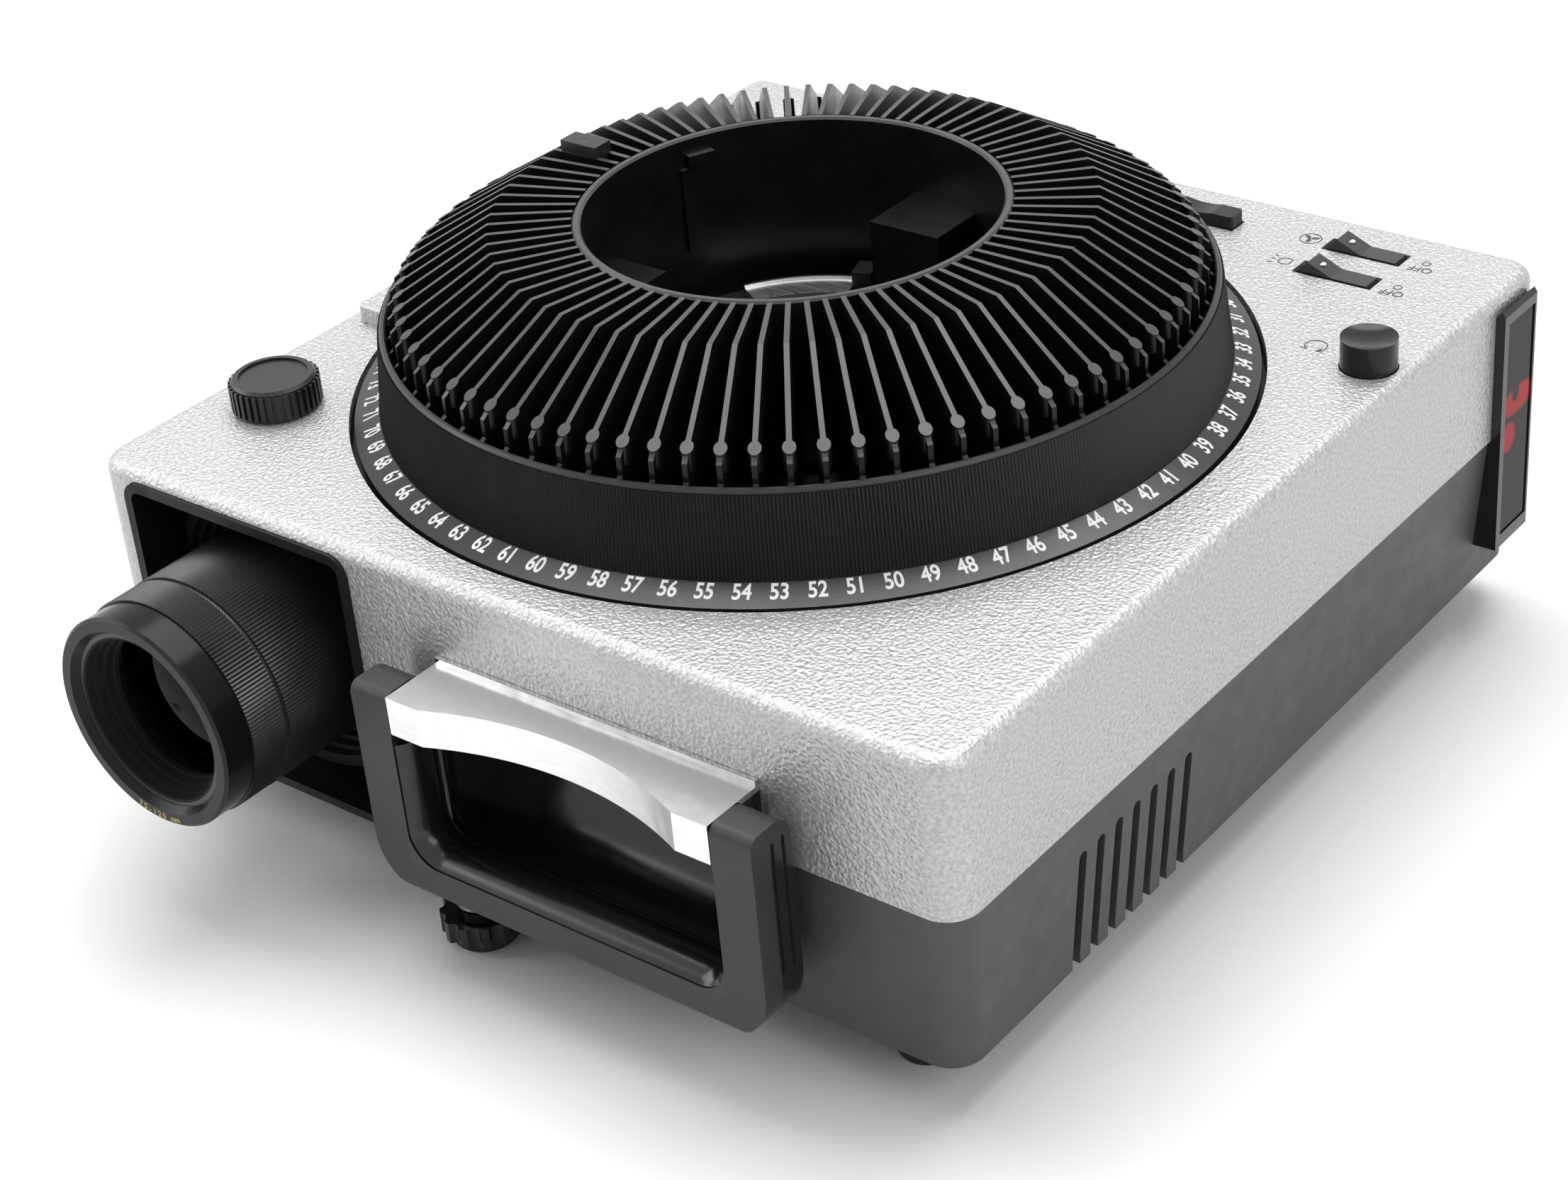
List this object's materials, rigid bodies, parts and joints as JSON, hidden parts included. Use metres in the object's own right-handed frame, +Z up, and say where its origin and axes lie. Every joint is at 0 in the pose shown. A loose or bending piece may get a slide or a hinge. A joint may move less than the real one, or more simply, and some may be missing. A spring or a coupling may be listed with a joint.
{
  "type": "slide projector",
  "caption": "Slide projector with a rotary slide tray on top, a zoom lens in a recess, a swing-down carrying handle, rocker switches, push buttons and a levelling foot.",
  "frame": {"origin": "On the table, under the middle of the bounding box", "axes": "+Z is up, the lens and the handle face -Y, and +X is the side with the vents and the select button"},
  "size_m": [0.286, 0.3326, 0.162],
  "materials": {
    "silver_paint": "fine textured",
    "dark_housing": "matte",
    "gloss_black": "gloss",
    "smoked_window": "gloss",
    "black_plastic": "satin",
    "bright_aluminium": "brushed",
    "steel": "satin",
    "grip": "satin",
    "rubber": "matte",
    "tray_black": "semi-gloss",
    "nylon": "satin",
    "cast_metal": "satin",
    "clear_glass": "polished",
    "mirror": "polished",
    "iron": "matte",
    "board_green": "satin"
  },
  "bodies": {
    "casing": {"top_cover": "silver_paint", "lower_housing": "dark_housing", "base_plate": "dark_housing", "tray_well": "dark_housing", "lamp_house_cover": "silver_paint", "side_trim": "gloss_black", "side_window": "smoked_window", "lens_tunnel": "black_plastic", "handle_pocket": "gloss_black", "handle_strip": "bright_aluminium", "handle_pins": "steel", "rear_panel": "black_plastic", "power_inlet": "black_plastic", "remote_socket": "black_plastic", "rubber_feet": "rubber", "cover_screws": "steel", "foot_bush": "steel", "retainer_plate": "bright_aluminium", "centre_spindle": "black_plastic", "centre_ring": "bright_aluminium", "index_motor": "steel", "optical_bench": "cast_metal", "lens_sleeve": "cast_metal", "gate_frame": "steel", "condensers": "clear_glass", "heat_glass": "clear_glass", "reflector": "mirror", "lamp": "clear_glass", "lamp_house": "steel", "fan_shroud": "black_plastic", "fan_motor": "steel", "transformer": "iron", "control_board": "board_green", "switch_block": "black_plastic", "forward_spring": "steel", "reverse_spring": "steel", "select_spring": "steel"},
    "tray": {"tray_flange": "tray_black", "tray_hub": "tray_black", "tray_dividers": "tray_black", "zero_tab": "tray_black", "drive_ring": "tray_black"},
    "index": {"index_pinion": "nylon"},
    "lens": {"lens_barrel": "black_plastic", "front_ring": "gloss_black", "lens_glasses": "clear_glass"},
    "zoom": {"zoom_ring": "black_plastic"},
    "cell": {"zoom_cell": "cast_metal"},
    "focus": {"focus_knob": "gloss_black", "focus_shaft": "steel"},
    "handle": {"handle_grip": "grip"},
    "foot": {"foot_pad": "rubber"},
    "foot_wheel": {"levelling_foot": "black_plastic"},
    "fan": {"fan_impeller": "black_plastic"},
    "lifter": {"slide_lifter": "steel"},
    "power_switch": {"power_rocker": "black_plastic"},
    "lamp_switch": {"lamp_rocker": "black_plastic"},
    "forward": {"forward_button": "gloss_black"},
    "reverse": {"reverse_button": "gloss_black"},
    "select": {"select_button": "gloss_black"}
  },
  "joints": [
    {"name": "tray_turn", "type": "hinge", "parent": "casing", "child": "tray", "pos_m": [-0.004, 0.01125, 0.106], "axis": [0, 0, 1], "continuous": true},
    {"name": "index_turn", "type": "hinge", "parent": "casing", "child": "index", "pos_m": [0.06936, 0.01125, 0.104], "axis": [0, 0, 1], "continuous": true},
    {"name": "lens_focus", "type": "slide", "parent": "casing", "child": "lens", "axis": [0, -1, 0], "range_m": [-0.01, 0.0138]},
    {"name": "focus_turn", "type": "hinge", "parent": "casing", "child": "focus", "pos_m": [-0.1196, -0.07805, 0.109], "axis": [0, 0, 1], "range_deg": [-160, 115]},
    {"name": "zoom_turn", "type": "hinge", "parent": "lens", "child": "zoom", "pos_m": [-0.0895, -0.15075, 0.0643], "axis": [0, -1, 0], "range_deg": [0, 60]},
    {"name": "zoom_travel", "type": "slide", "parent": "lens", "child": "cell", "axis": [0, 1, 0], "range_m": [0, 0.0101]},
    {"name": "handle_swing", "type": "hinge", "parent": "casing", "child": "handle", "pos_m": [0.033, -0.13755, 0.0812], "axis": [-1, 0, 0], "range_deg": [0, 95]},
    {"name": "foot_travel", "type": "slide", "parent": "casing", "child": "foot", "axis": [0, 0, -1], "range_m": [0, 0.0081]},
    {"name": "foot_turn", "type": "hinge", "parent": "foot", "child": "foot_wheel", "pos_m": [-0.016, -0.12595, 0.006], "axis": [0, 0, 1], "range_deg": [0, 1440]},
    {"name": "fan_spin", "type": "hinge", "parent": "casing", "child": "fan", "pos_m": [0.116, -0.04675, 0.0555], "axis": [1, 0, 0], "continuous": true},
    {"name": "slide_lift", "type": "slide", "parent": "casing", "child": "lifter", "axis": [0, 0, -1], "range_m": [0, 0.071]},
    {"name": "power_rock", "type": "hinge", "parent": "casing", "child": "power_switch", "pos_m": [0.094, 0.14805, 0.1052], "axis": [0, 1, 0], "range_deg": [-16, 0]},
    {"name": "lamp_rock", "type": "hinge", "parent": "casing", "child": "lamp_switch", "pos_m": [0.094, 0.13115, 0.1052], "axis": [0, 1, 0], "range_deg": [-16, 0]},
    {"name": "forward_press", "type": "slide", "parent": "casing", "child": "forward", "axis": [0, 0, -1], "range_m": [0, 0.0025], "stiffness_N_per_m": 250, "springref_m": -0.001, "deforming": ["forward_spring"]},
    {"name": "reverse_press", "type": "slide", "parent": "casing", "child": "reverse", "axis": [0, 0, -1], "range_m": [0, 0.0025], "stiffness_N_per_m": 250, "springref_m": -0.001, "deforming": ["reverse_spring"]},
    {"name": "select_press", "type": "slide", "parent": "casing", "child": "select", "axis": [0, 0, -1], "range_m": [0, 0.004], "stiffness_N_per_m": 250, "springref_m": -0.001, "deforming": ["select_spring"]}
  ],
  "couplings": [
    {"joint": "index_turn", "follows": "tray_turn", "ratio": -4.5},
    {"joint": "focus_turn", "follows": "lens_focus", "rad_per_m": -200},
    {"joint": "zoom_travel", "follows": "zoom_turn", "m_per_rad": 0.00955},
    {"joint": "foot_travel", "follows": "foot_turn", "m_per_rad": 0.00031831}
  ]
}
